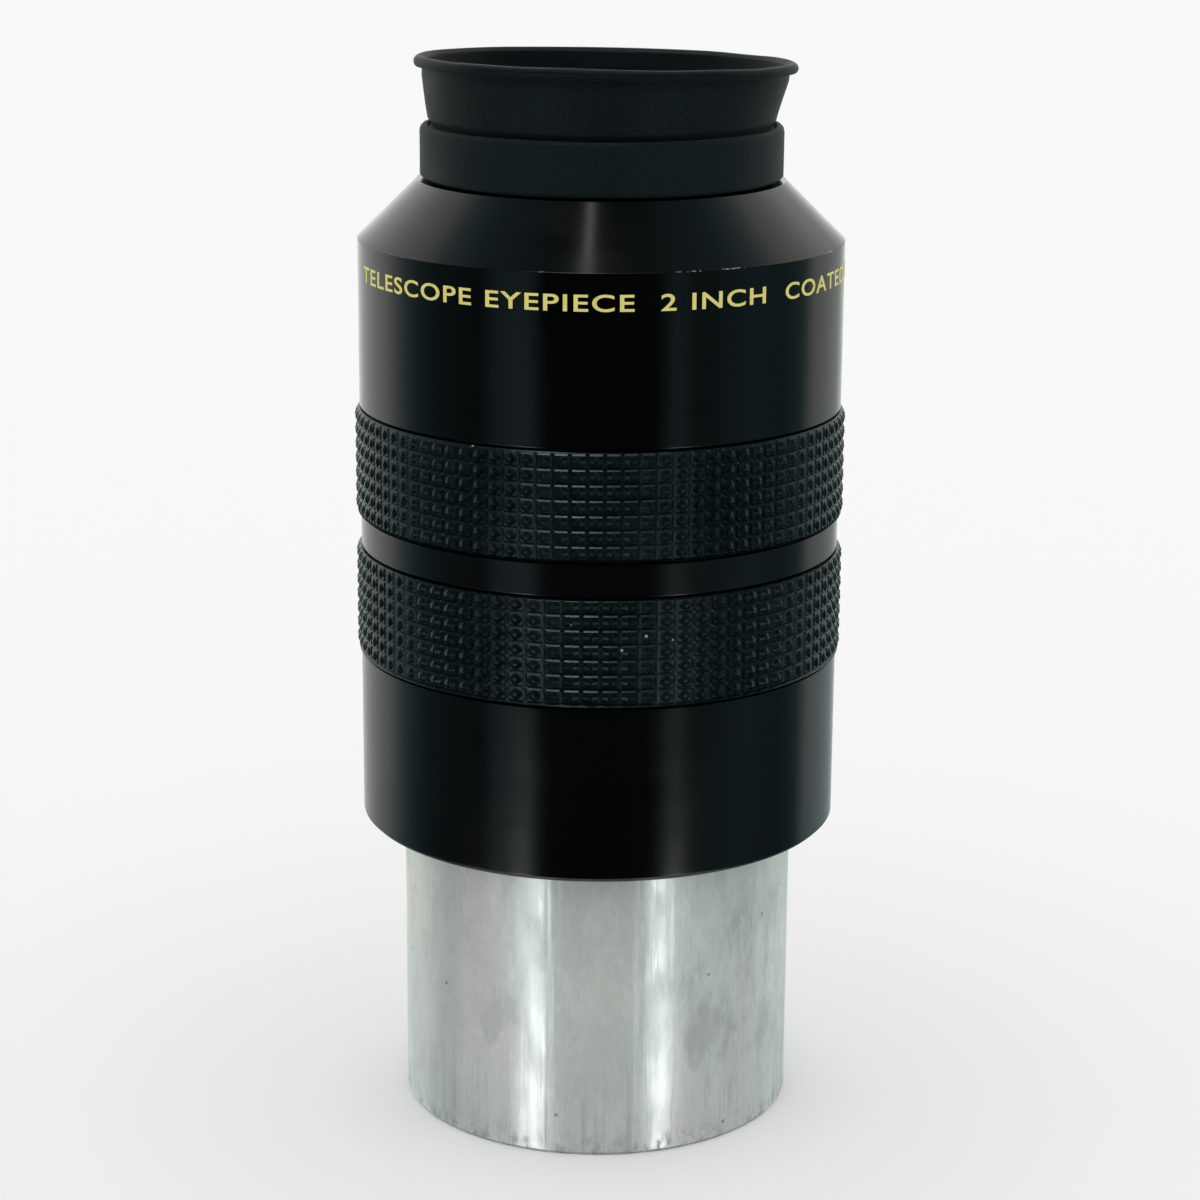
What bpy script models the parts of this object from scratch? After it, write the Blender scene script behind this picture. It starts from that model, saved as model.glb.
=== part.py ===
"""A two-inch telescope eyepiece of the four-element, two-doublet kind.

Everything is turned about the optical axis, which is +Z. The origin is the centre of the
barrel's foot, the end that goes into the telescope. Lengths below are in millimetres.
"""

import math

import bmesh
import bpy

MM = 0.001
SEGMENTS = 64           # flats round every turned piece, the same on all so that they nest
GAP = 0.3               # clearance kept between neighbouring solids
MERGE = 0.00001         # metres, closes the seam of a turned shape

# Two-inch barrel
BARREL_R = 25.4
BARREL_BORE_R = 23.6
BARREL_SHOULDER_Z = 38.6
SPIGOT_R = 24.7
SPIGOT_TOP_Z = 46.0
FILTER_THREAD_R = 24.0
FILTER_THREAD_DEPTH = 6.0

# Housing, in two tubes that join under the upper grip
HOUSING_FOOT_Z = BARREL_SHOULDER_Z + GAP
LOWER_R = 30.8
BAND_R = 30.66
UPPER_R = 30.72
GROOVE_R = 30.1
CHAMBER_R = 28.6
FLANGE_R = SPIGOT_R + GAP
FLANGE_TOP_Z = SPIGOT_TOP_Z + GAP
FLANGE_CHAMFER = 0.8     # opens the flange wider than the barrel below it
STOP_SEAT_R = 26.0
STOP_SEAT_TOP_Z = 50.5
JOINT_Z = 86.2
SPIGOT_LENGTH = 7.8
SHOULDER_Z = 114.25
SHOULDER_BEVEL = 0.25
CONE_SLOPE = 0.98       # height lost per unit of radius gained
NECK_R = 21.3
NECK_BORE_R = 20.0
NECK_TOP_Z = 127.3
LEDGE_R = 23.15
LEDGE_Z = 121.65

# Rubber grips
GRIP_R = 31.3
GRIP_LIP = 0.35
LOWER_GRIP_Z = (61.4, 74.8)
UPPER_GRIP_Z = (79.5, 92.9)

# Lenses: two equal doublets, crowns facing each other
LENS_R = 22.25
LENS_BORE_R = LENS_R + GAP
LENS_SEAT_Z = 112.6
LENS_SEAT_R = 20.6
OUTER_FACE_RADIUS = 200.0
CEMENT_FACE_RADIUS = 52.0
INNER_FACE_RADIUS = 62.0
FLINT_CENTRE = 2.5
CROWN_CENTRE = 10.7
INNER_AIR = 1.0
FACE_STEPS = 4
SPACER_BORE_R = 20.4

# Rings
RETAINER_BORE_R = 20.3
RETAINER_BOTTOM_Z = 78.9
FIELD_STOP_R = 23.2
FIELD_STOP_TOP_Z = 49.0
NOTCH_WIDTH = 2.0
NOTCH_DEPTH = 1.0

# Rubber eyecup
COLLAR_R = 22.8
COLLAR_WALL_R = NECK_R + GAP
COLLAR_BOTTOM_Z = LEDGE_Z + GAP
COLLAR_TOP_Z = 128.55
COLLAR_LIP_R = 20.5
COLLAR_ROUND = 0.9
FLARE_FOOT_R = 21.75
FLARE_TOP_R = 22.87
FLARE_WALL = 0.9
FLARE_BEND_Z = 134.2
RIM_INNER_R = 23.2
RIM_R = 23.95
RIM_BOTTOM_Z = 135.1
RIM_TOP_Z = 136.5
RIM_ROUND = 0.45


def sag(radius, r):
    """Depth of a sphere of the given radius at distance r from the axis."""
    return radius - math.sqrt(radius * radius - r * r)


# Heights in the lens stack, from the upper seat downwards
EYE_VERTEX_Z = LENS_SEAT_Z - GAP - sag(OUTER_FACE_RADIUS, LENS_R)
EYE_CEMENT_Z = EYE_VERTEX_Z - FLINT_CENTRE
EYE_CROWN_TOP_Z = EYE_CEMENT_Z - GAP
EYE_CROWN_BOTTOM_Z = EYE_CROWN_TOP_Z - CROWN_CENTRE
MIDDLE_Z = EYE_CROWN_BOTTOM_Z - INNER_AIR / 2


def collection(name):
    """A new collection linked to the scene."""
    group = bpy.data.collections.new(name)
    bpy.context.scene.collection.children.link(group)
    return group


def material(name, colour, roughness, metallic=0.0, transmission=0.0):
    """A Principled material."""
    mat = bpy.data.materials.new(name)
    mat.use_nodes = True
    shader = mat.node_tree.nodes["Principled BSDF"]
    shader.inputs["Base Color"].default_value = (*colour, 1.0)
    shader.inputs["Roughness"].default_value = roughness
    shader.inputs["Metallic"].default_value = metallic
    shader.inputs["Transmission Weight"].default_value = transmission
    return mat


def arc(centre_r, centre_z, radius, start, stop, steps=3):
    """Points on a rounded corner, angles in degrees from +X towards +Z."""
    angles = [math.radians(start + (stop - start) * i / steps) for i in range(steps + 1)]
    return [(centre_r + radius * math.cos(a), centre_z + radius * math.sin(a)) for a in angles]


def mirrored(outline, z):
    """The outline reflected in the plane at height z, still running down its outer side."""
    return [(r, 2 * z - height) for r, height in reversed(outline)]


def turned(name, outline, finish, group, closed=True):
    """A solid of revolution. The outline runs down its outer side, then up its bore."""
    mesh = bpy.data.meshes.new(name)
    build = bmesh.new()
    points = [build.verts.new((r * MM, 0.0, z * MM)) for r, z in outline]
    for first, second in zip(points, points[1:]):
        build.edges.new((first, second))
    if closed:
        build.edges.new((points[-1], points[0]))
    build.to_mesh(mesh)
    build.free()
    obj = bpy.data.objects.new(name, mesh)
    group.objects.link(obj)
    obj.data.materials.append(finish)
    screw = obj.modifiers.new("turn", "SCREW")
    screw.axis = "Z"
    screw.steps = SEGMENTS
    screw.render_steps = SEGMENTS
    screw.use_merge_vertices = True
    screw.merge_threshold = MERGE
    screw.use_smooth_shade = True
    return obj


def notch_cutter(name, radius, z, group):
    """A bar across the axis at radius, which cuts one spanner notch."""
    bpy.ops.mesh.primitive_cube_add(size=1.0)
    cutter = bpy.context.object
    cutter.name = name
    cutter.dimensions = (4 * NOTCH_WIDTH * MM, NOTCH_WIDTH * MM, 2 * NOTCH_DEPTH * MM)
    cutter.location = (radius * MM, 0.0, z * MM)
    bpy.ops.object.transform_apply(location=False, rotation=False, scale=True)
    cutter.hide_render = True
    cutter.display_type = "WIRE"
    for holder in list(cutter.users_collection):
        holder.objects.unlink(cutter)
    group.objects.link(cutter)
    return cutter


def notch(ring, radius, z, group):
    """Two spanner notches, one each side of the axis, in the ring's face at height z."""
    for side in (-1, 1):
        cutter = notch_cutter(f"{ring.name}_notch_{side}", side * radius, z, group)
        cut = ring.modifiers.new(cutter.name, "BOOLEAN")
        cut.operation = "DIFFERENCE"
        cut.solver = "EXACT"
        cut.object = cutter


def barrel(group, finish):
    """Plated sleeve that slides into the focuser, threaded into the housing at its top."""
    chamfer = 0.4
    outline = [
        (BARREL_BORE_R, SPIGOT_TOP_Z),
        (SPIGOT_R - GAP, SPIGOT_TOP_Z),
        (SPIGOT_R, SPIGOT_TOP_Z - GAP),
        (SPIGOT_R, BARREL_SHOULDER_Z),
        (BARREL_R - chamfer / 2, BARREL_SHOULDER_Z),
        (BARREL_R, BARREL_SHOULDER_Z - chamfer / 2),
        (BARREL_R, chamfer),
        (BARREL_R - chamfer, 0.0),
        (FILTER_THREAD_R + chamfer / 2, 0.0),
        (FILTER_THREAD_R, chamfer / 2),
        (FILTER_THREAD_R, FILTER_THREAD_DEPTH),
        (BARREL_BORE_R, FILTER_THREAD_DEPTH + chamfer),
    ]
    return turned("barrel", outline, finish, group)


def groove(bottom, top, below_r, above_r):
    """The recess that a grip sits in, from its upper edge down to its lower one."""
    return [
        (above_r, top + GAP),
        (GROOVE_R, top + GAP),
        (GROOVE_R, bottom - GAP),
        (below_r, bottom - GAP),
    ]


def lower_housing(group, finish):
    """Tube between the barrel and the upper housing, with the barrel's threaded flange."""
    chamfer = 0.6
    flare_z = STOP_SEAT_TOP_Z + CHAMBER_R - STOP_SEAT_R
    outline = [
        (CHAMBER_R + GAP, JOINT_Z),
        (GROOVE_R, JOINT_Z),
        (GROOVE_R, UPPER_GRIP_Z[0] - GAP),
        (BAND_R, UPPER_GRIP_Z[0] - GAP),
        *groove(*LOWER_GRIP_Z, LOWER_R, BAND_R),
        (LOWER_R, HOUSING_FOOT_Z + chamfer),
        (LOWER_R - chamfer, HOUSING_FOOT_Z),
        (FLANGE_R + FLANGE_CHAMFER, HOUSING_FOOT_Z),
        (FLANGE_R, HOUSING_FOOT_Z + FLANGE_CHAMFER),
        (FLANGE_R, FLANGE_TOP_Z),
        (STOP_SEAT_R, FLANGE_TOP_Z),
        (STOP_SEAT_R, STOP_SEAT_TOP_Z),
        (CHAMBER_R, flare_z),
        (CHAMBER_R, JOINT_Z - GAP),
    ]
    return turned("lower_housing", outline, finish, group)


def upper_housing(group, finish):
    """Tube with the sloping shoulder, the eyecup's neck and the bore that holds the lenses."""
    step_z = JOINT_Z + GAP
    bottom_z = JOINT_Z - SPIGOT_LENGTH
    spigot_r = CHAMBER_R - GAP
    cone_r = LEDGE_R + (LEDGE_Z - SHOULDER_Z - SHOULDER_BEVEL) / CONE_SLOPE
    outline = [
        (NECK_BORE_R + GAP, NECK_TOP_Z),
        (NECK_R - GAP, NECK_TOP_Z),
        (NECK_R, NECK_TOP_Z - GAP),
        (NECK_R, LEDGE_Z),
        (LEDGE_R, LEDGE_Z),
        (cone_r, SHOULDER_Z + SHOULDER_BEVEL),
        (UPPER_R, SHOULDER_Z),
        (UPPER_R, UPPER_GRIP_Z[1] + GAP),
        (GROOVE_R, UPPER_GRIP_Z[1] + GAP),
        (GROOVE_R, step_z),
        (spigot_r, step_z),
        (spigot_r, bottom_z + GAP),
        (spigot_r - GAP, bottom_z),
        (LENS_BORE_R + GAP, bottom_z),
        (LENS_BORE_R, bottom_z + GAP),
        (LENS_BORE_R, LENS_SEAT_Z),
        (LENS_SEAT_R, LENS_SEAT_Z),
        (NECK_BORE_R, LENS_SEAT_Z + 2.4),
        (NECK_BORE_R, NECK_TOP_Z - GAP),
    ]
    return turned("upper_housing", outline, finish, group)


def grip(name, heights, group, finish):
    """Rubber band stretched into its groove, thinner at its two plain edges."""
    bottom, top = heights
    inner = GROOVE_R + GAP
    outline = [
        (inner, top),
        (GRIP_R - GRIP_LIP, top),
        (GRIP_R, top - GRIP_LIP),
        (GRIP_R, bottom + GRIP_LIP),
        (GRIP_R - GRIP_LIP, bottom),
        (inner, bottom),
    ]
    return turned(name, outline, finish, group)


def face(vertex_z, radius, direction):
    """Points of a spherical lens face from the axis outwards; direction +1 rises outwards."""
    radii = [LENS_R * i / FACE_STEPS for i in range(FACE_STEPS + 1)]
    return [(r, vertex_z + direction * sag(radius, r)) for r in radii]


def flint_outline():
    """Eye-side flint: slightly hollow outside, deeply hollow where the crown is cemented."""
    top = face(EYE_VERTEX_Z, OUTER_FACE_RADIUS, 1)
    bottom = face(EYE_CEMENT_Z, CEMENT_FACE_RADIUS, -1)
    return top + bottom[::-1]


def crown_outline():
    """Eye-side crown: convex on both faces."""
    top = face(EYE_CROWN_TOP_Z, CEMENT_FACE_RADIUS, -1)
    bottom = face(EYE_CROWN_BOTTOM_Z, INNER_FACE_RADIUS, 1)
    return top + bottom[::-1]


def lenses(group, flint, crown):
    """Four elements: the field doublet is the eye doublet reflected in the middle plane."""
    turned("eye_lens_flint", flint_outline(), flint, group, closed=False)
    turned("eye_lens_crown", crown_outline(), crown, group, closed=False)
    turned("field_lens_crown", mirrored(crown_outline(), MIDDLE_Z), crown, group, closed=False)
    turned("field_lens_flint", mirrored(flint_outline(), MIDDLE_Z), flint, group, closed=False)


def lens_spacer(group, finish):
    """Ring between the two crowns, which it touches at its bore."""
    touch_z = EYE_CROWN_BOTTOM_Z + sag(INNER_FACE_RADIUS, SPACER_BORE_R)
    half = touch_z - GAP - MIDDLE_Z
    outline = [
        (SPACER_BORE_R, MIDDLE_Z + half),
        (LENS_R, MIDDLE_Z + half),
        (LENS_R, MIDDLE_Z - half),
        (SPACER_BORE_R, MIDDLE_Z - half),
    ]
    return turned("lens_spacer", outline, finish, group)


def lens_retaining_ring(group, cutters, finish):
    """Threaded ring that clamps the lens stack from below, with two spanner notches."""
    stack_bottom = 2 * MIDDLE_Z - (EYE_VERTEX_Z + sag(OUTER_FACE_RADIUS, LENS_R))
    outline = [
        (RETAINER_BORE_R, stack_bottom - GAP),
        (LENS_R, stack_bottom - GAP),
        (LENS_R, RETAINER_BOTTOM_Z),
        (RETAINER_BORE_R + GAP, RETAINER_BOTTOM_Z),
        (RETAINER_BORE_R, RETAINER_BOTTOM_Z + GAP),
    ]
    ring = turned("lens_retaining_ring", outline, finish, group)
    notch(ring, LENS_R, RETAINER_BOTTOM_Z, cutters)


def field_stop_ring(group, cutters, finish):
    """Sharp-edged ring that bounds the view, resting on the housing's flange."""
    outer = STOP_SEAT_R - GAP
    bottom = FLANGE_TOP_Z + GAP
    edge = 0.4
    outline = [
        (FIELD_STOP_R + 4 * edge, FIELD_STOP_TOP_Z),
        (outer, FIELD_STOP_TOP_Z),
        (outer, bottom),
        (FIELD_STOP_R, bottom),
        (FIELD_STOP_R, bottom + edge),
    ]
    ring = turned("field_stop_ring", outline, finish, group)
    notch(ring, outer + NOTCH_WIDTH, FIELD_STOP_TOP_Z, cutters)


def eyecup_collar(group, finish):
    """Thick sleeve of the eyecup, gripping the neck and lipped over its top."""
    foot = 0.3
    corner = arc(COLLAR_R - COLLAR_ROUND, COLLAR_TOP_Z - COLLAR_ROUND, COLLAR_ROUND, 90, 0)
    outline = [
        (COLLAR_LIP_R, COLLAR_TOP_Z),
        *corner,
        (COLLAR_R, COLLAR_BOTTOM_Z + foot),
        (COLLAR_R - foot, COLLAR_BOTTOM_Z),
        (COLLAR_WALL_R, COLLAR_BOTTOM_Z),
        (COLLAR_WALL_R, NECK_TOP_Z + GAP),
        (COLLAR_LIP_R, NECK_TOP_Z + GAP),
    ]
    return turned("eyecup_collar", outline, finish, group)


def eyecup_flare(group, finish):
    """Thin conical wall of the eyecup, straight near its top where the rim surrounds it."""
    foot_z = COLLAR_TOP_Z + GAP
    outline = [
        (FLARE_TOP_R - FLARE_WALL, RIM_TOP_Z),
        (FLARE_TOP_R, RIM_TOP_Z),
        (FLARE_TOP_R, FLARE_BEND_Z),
        (FLARE_FOOT_R, foot_z),
        (FLARE_FOOT_R - FLARE_WALL, foot_z),
        (FLARE_TOP_R - FLARE_WALL, FLARE_BEND_Z),
    ]
    return turned("eyecup_flare", outline, finish, group)


def eyecup_rim(group, finish):
    """Rolled bead round the top of the flare, wide enough to fold down over the collar."""
    centre_r = RIM_R - RIM_ROUND
    outline = [
        (RIM_INNER_R, RIM_TOP_Z),
        *arc(centre_r, RIM_TOP_Z - RIM_ROUND, RIM_ROUND, 90, 0),
        *arc(centre_r, RIM_BOTTOM_Z + RIM_ROUND, RIM_ROUND, 0, -90),
        (RIM_INNER_R, RIM_BOTTOM_Z),
    ]
    return turned("eyecup_rim", outline, finish, group)


def main():
    for obj in list(bpy.data.objects):
        bpy.data.objects.remove(obj)
    parts = collection("telescope_eyepiece")
    cutters = collection("cutters")

    plated = material("worn_plating", (0.60, 0.61, 0.59), 0.32, metallic=1.0)
    anodised = material("black_anodised", (0.012, 0.012, 0.013), 0.35, metallic=0.5)
    baffle = material("matt_black", (0.01, 0.01, 0.01), 0.8)
    grip_rubber = material("grip_rubber", (0.02, 0.021, 0.022), 0.6)
    cup_rubber = material("eyecup_rubber", (0.03, 0.032, 0.033), 0.75)
    crown = material("crown_glass", (0.95, 1.0, 0.97), 0.02, transmission=1.0)
    flint = material("flint_glass", (1.0, 0.99, 0.94), 0.02, transmission=1.0)

    barrel(parts, plated)
    field_stop_ring(parts, cutters, baffle)
    lower_housing(parts, anodised)
    upper_housing(parts, anodised)
    grip("lower_grip", LOWER_GRIP_Z, parts, grip_rubber)
    grip("upper_grip", UPPER_GRIP_Z, parts, grip_rubber)
    lenses(parts, flint, crown)
    lens_spacer(parts, baffle)
    lens_retaining_ring(parts, cutters, baffle)
    eyecup_collar(parts, cup_rubber)
    eyecup_flare(parts, cup_rubber)
    eyecup_rim(parts, cup_rubber)


main()
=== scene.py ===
"""Looks of a two-inch telescope eyepiece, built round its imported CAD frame.

Every visible piece but the lettering is turned from the outline or the sizes of the CAD nodes
that it stands for, so its places come from the frame. Lengths are in metres, and MM turns
millimetres into them. Angles round the axis start at the front, -Y, and turn towards +X.
"""

import math

import bmesh
import bpy
from mathutils import Matrix, Vector, noise


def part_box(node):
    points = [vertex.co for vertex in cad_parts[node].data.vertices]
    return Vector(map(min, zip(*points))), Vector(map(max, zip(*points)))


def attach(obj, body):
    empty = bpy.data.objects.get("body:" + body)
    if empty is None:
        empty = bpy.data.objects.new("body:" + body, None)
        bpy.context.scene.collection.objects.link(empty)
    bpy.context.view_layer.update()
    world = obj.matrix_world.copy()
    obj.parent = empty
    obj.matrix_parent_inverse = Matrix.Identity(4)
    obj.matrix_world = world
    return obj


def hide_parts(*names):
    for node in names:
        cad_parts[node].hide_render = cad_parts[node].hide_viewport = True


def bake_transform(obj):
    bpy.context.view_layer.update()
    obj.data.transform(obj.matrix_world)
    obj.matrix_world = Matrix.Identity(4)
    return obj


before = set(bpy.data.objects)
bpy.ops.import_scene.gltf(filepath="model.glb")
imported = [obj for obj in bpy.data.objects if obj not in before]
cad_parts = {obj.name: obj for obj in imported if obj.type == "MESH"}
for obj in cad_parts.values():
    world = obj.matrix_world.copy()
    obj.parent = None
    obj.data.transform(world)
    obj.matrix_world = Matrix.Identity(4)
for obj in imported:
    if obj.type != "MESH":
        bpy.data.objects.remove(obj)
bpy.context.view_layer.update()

MM = 0.001
TAU = 2 * math.pi
NEAR = 0.02 * MM            # two places closer than this are the same place
STEPS_ROUND = 360           # faces round a turned piece
LENS_STEPS_ROUND = 128
LENS_STEP = 5 * MM          # longest stretch of a lens's outline
CORNER_ROUND = 0.12 * MM    # on the barrel and the housing
RING_ROUND = 0.06 * MM      # on the rings in the light path
CORNER_STEPS = 4
CORNER_SHARE = 0.4          # the most that a corner takes of the shorter side next to it
CORNER_HOLD = 0.04 * MM     # from a rounded corner to the points that hold its shading
STRAIGHT = math.radians(175)    # a corner flatter than this isn't rounded

# Threads, plain cylinders in the CAD. The ends are what a thread leaves plain below and above.
MAIN_PITCH = 1.0 * MM
MAIN_DEPTH = 0.45 * MM
MAIN_ENDS = (0.8 * MM, 0.4 * MM)
FILTER_PITCH = 0.75 * MM
FILTER_DEPTH = 0.38 * MM
FILTER_ENDS = (0.3 * MM, 0.3 * MM)
THREAD_STEPS = 8            # points along one pitch

# Grips: rows of square points round a rubber band. start is the angle where the first column
# begins, and margins are what the rows leave plain at the foot and at the top. Where a margin
# is negative, the band ends part of the way through the row.
POINT_ROWS = 7
POINT_HEIGHT = 0.46 * MM
POINT_WALL = 0.18 * MM      # the steep low wall round each point
POINT_UNEVEN = 0.03 * MM
POINT_SWAY = 0.1 * MM       # how far the rows wander up and down
TIP_EDGE = 0.17             # where a point's tip ends, from its middle, 0, to its border, 1
WALL_EDGE = 0.74            # where its low wall starts
VALLEY_EDGE = 0.975         # where its low wall ends
GRIP_LIP = 0.08 * MM
GRIP_FOOT_EDGE = 0.25 * MM  # the plain edge that stands up under the lowest row
GRIP_SHARP = math.radians(10)   # edges that turn by more than this are shaded as sharp
LOWER_GRIP = {"seed": 3.0, "points": 84, "start": math.radians(0.45),
              "margins": (0.30 * MM, -0.10 * MM)}
UPPER_GRIP = {"seed": 8.0, "points": 93, "start": math.radians(1.2),
              "margins": (0.12 * MM, 0.12 * MM)}

# Lettering
LETTERING = "TELESCOPE EYEPIECE  2 INCH  COATED OPTICS"
CAP_HEIGHT = 2.06 * MM
CAP_SHARE = 0.73            # of the font's size, the height of its capitals
LETTER_STRETCH = 1.45
LETTER_GAP = 1.12
LETTER_WEIGHT = 0.035 * MM  # what each side of a stroke is fattened by
LETTER_DROP = 4.45 * MM     # from the shoulder's edge down to the foot of the letters
LETTER_START = math.radians(-72.3)
PAINT_THICKNESS = 0.03 * MM
PAINT_LIFT = 0.005 * MM

# Eyecup, as its rubber has set after use
CUP_WALL = 0.9 * MM
CUP_ROOT = 0.65 * MM        # how far the flare's foot reaches down into the collar's groove
CUP_STEP = 0.25 * MM        # longest stretch of its outline
CUP_LEAN = 0.45 * MM
CUP_TILT_FRONT = 0.60 * MM
CUP_TILT_SIDE = -0.35 * MM
CUP_LUMPS = 0.12 * MM
CUP_SWELL = 0.004
CUP_LUMP_SIZE = 9 * MM
COLLAR_STEP = 0.4 * MM
COLLAR_ROUND = 0.15 * MM
COLLAR_UNEVEN = 0.05 * MM
COLLAR_TOP_UNEVEN = 0.10 * MM
COLLAR_LUMP_SIZE = 11 * MM
# Nubs of flash left at the collar's foot: angle and height of each one
NUBS = [(math.radians(-41), 0.16 * MM), (math.radians(34), 0.10 * MM),
        (math.radians(150), 0.14 * MM)]
NUB_SPREAD = 0.35 * MM

# Wear along the two sharp edges of the housing: bearing in degrees, half width, share worn
EDGE_WEAR = 0.085 * MM      # half the worn line's height
SHOULDER_WEAR_UP = 0.05 * MM
FOOT_WEAR_UP = 0.1 * MM
SHOULDER_WEAR = [(-51, 6, 0.2), (-13, 1.0, 0.5), (6, 0.9, 0.5), (27, 11, 0.5), (65, 5, 0.3),
                 (128, 9, 0.7), (-150, 6, 0.8)]
FOOT_WEAR = [(-45, 3, 0.4), (2, 6, 0.3), (38, 4, 0.4), (160, 9, 0.6)]

# Darker patches on the barrel: one stain, at 46 degrees, and painted shade on its two sides, at
# -66 and 68 degrees.
# Each gives bearing in degrees, half width, height as a share of the barrel, reach up and down,
# the level of haze where the patch starts, and its strength
STAINS_AND_SIDE_SHADE = [(46, 24, 0.46, 12 * MM, 0.45, 0.35), (-66, 26, 0.5, 26 * MM, 0.30, 0.34),
          (68, 14, 0.5, 26 * MM, 0.35, 0.22)]

# Colours of the barrel's plating
PLATE_COOL = (0.755, 0.82, 0.765)
PLATE_WARM = (0.80, 0.79, 0.755)
PLATE_CLOUD = (0.86, 0.89, 0.83)
PLATE_HAZE = (0.62, 0.65, 0.61)
PLATE_BRIGHT = (0.93, 0.95, 0.91)
PLATE_GRAIN = (0.50, 0.53, 0.50)
# stain colour, also used for the painted shade on the barrel's two sides
PLATE_STAIN_AND_SIDE_SHADE = (0.45, 0.43, 0.41)
PLATE_SCRATCH = (0.38, 0.42, 0.42)
PLATE_SCUFF = (0.38, 0.41, 0.40)
PLATE_PIT = (0.16, 0.18, 0.18)

# Colours of the rest
BODY_BLACK = (0.0003, 0.0004, 0.0004)
TUBE_BLACK = (0.0009, 0.0012, 0.0012)
BARE_METAL = (0.34, 0.34, 0.32)
INNER_BLACK = (0.006, 0.006, 0.007)
INNER_GREY = (0.012, 0.012, 0.012)
RUBBER_GRAIN = (0.006, 0.0095, 0.0105)
DUST = (0.35, 0.36, 0.35)
RUBBER_SHINE = (0.70, 1.0, 1.06)
GOLD_DEEP = (0.55, 0.49, 0.11)
GOLD_PALE = (0.72, 0.66, 0.22)
GOLD_GONE = (0.02, 0.02, 0.015)
GLASS_DUSTY = (0.94, 0.98, 0.95)
GLASS_CLEAR = (0.98, 1.0, 0.98)
FLOOR_COLOUR = (0.9, 0.9, 0.9)

# Camera: its place, how far it looks down, its turn about its own axis, and its lens
EYE = Vector((0.00015, -0.38434, 0.16911))
PITCH = math.radians(14.915)
ROLL = math.radians(0.383)
LENS = 91.64                # millimetres, on a sensor 36 mm wide

# Light by direction, seen only in gloss: levels from the front, Y = -1, to the back, Y = 1
LEFT_ROOM = [(-1.0, 0.015), (-0.85, 0.03), (-0.5, 0.09), (-0.17, 0.13), (0.0, 0.20),
             (0.17, 0.33), (0.34, 0.64), (0.5, 1.02), (0.87, 1.0), (1.0, 1.25)]
RIGHT_ROOM = [(-1.0, 0.015), (-0.85, 0.03), (-0.5, 0.08), (-0.17, 0.17), (0.0, 0.17),
              (0.17, 0.20), (0.34, 0.27), (0.48, 0.80), (0.87, 0.66), (1.0, 1.15)]
HIGH_ROOM = [(-1.0, 0.04), (-0.11, 0.05), (-0.04, 0.12), (0.04, 0.22), (0.14, 0.20),
             (0.33, 0.46), (0.43, 0.84), (1.0, 1.25)]
# The share of the two side rooms that is left below the horizon, by Z
ROOM_DROP = [(-1.0, 0.12), (-0.6, 0.12), (-0.42, 0.26), (-0.32, 0.74), (-0.14, 1.0), (1.0, 1.0)]
# Window strips near the horizon and lamps well below it, by bearing in degrees
LOW_STRIPS = [(-180, 0), (-56, 0), (-50, 0.20), (-44, 0.24), (-36, 0.32), (-31, 0.22),
              (-27, 0), (27, 0), (32, 0.14), (36, 0.30), (41, 0.12), (46, 0.06), (54, 0.08),
              (60, 0.12), (72, 0.12), (80, 0.08), (95, 0), (180, 0)]
LAMPS = [(-180, 0), (-78, 0), (-66, 0.8), (-54, 1.4), (-44, 2.6), (-39, 13), (-34, 13),
         (-31, 0), (31, 0), (34, 5), (37, 14), (41, 14), (45, 3), (54, 0.3), (60, 0),
         (180, 0)]
CEILING_LIGHT = 3.4
FRONT_LIGHT = 6.0
FRONT_WASH = 0.25           # the front light's level off to its sides
# Dim parts of the room are cool, bright ones are neutral
DIM_TINT = (0.60, 1.0, 1.09)
BRIGHT_TINT = (0.97, 1.0, 0.95)
PLAIN_LIGHT = 1.05          # everything but gloss sees an even white room
FLOOR_REACH = 8.0


# ---------------------------------------------------------------- outlines from the frame

def polar(r, z, angle):
    """A point at an angle from the front, -Y, turning towards +X."""
    return (r * math.sin(angle), -r * math.cos(angle), z)


def smoothstep(low, high, value):
    """0 up to low and 1 from high, with a smooth rise between them."""
    t = min(1.0, max(0.0, (value - low) / (high - low)))
    return t * t * (3 - 2 * t)


def outline_of(node):
    """The (radius, height) outline of a turned CAD node, read where it crosses the YZ plane.

    It starts at the top, at the smallest radius, and runs down the outer side.
    """
    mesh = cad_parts[node].data
    places, index_of, on_plane = [], {}, {}
    for vertex in mesh.vertices:
        x, y, z = vertex.co
        if abs(x) < 1e-6 and y > -1e-6:
            key = (round(y, 6), round(z, 6))
            if key not in index_of:
                index_of[key] = len(places)
                places.append((y, z))
            on_plane[vertex.index] = index_of[key]
    links = {i: set() for i in range(len(places))}
    for edge in mesh.edges:
        a, b = (on_plane.get(v) for v in edge.vertices)
        if a is not None and b is not None and a != b:
            links[a].add(b)
            links[b].add(a)
    ends = [i for i, near in links.items() if len(near) == 1]
    start = max(ends or links, key=lambda i: (places[i][1], -places[i][0]))
    path = [start]
    while True:
        ways = [i for i in links[path[-1]] if i not in path]
        if not ways:
            break
        path.append(max(ways, key=lambda i: places[i][0]) if len(path) == 1 else ways[0])
    return [places[i] for i in path]


def heights(node):
    """Lowest and highest Z of a CAD node."""
    low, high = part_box(node)
    return low.z, high.z


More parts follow.
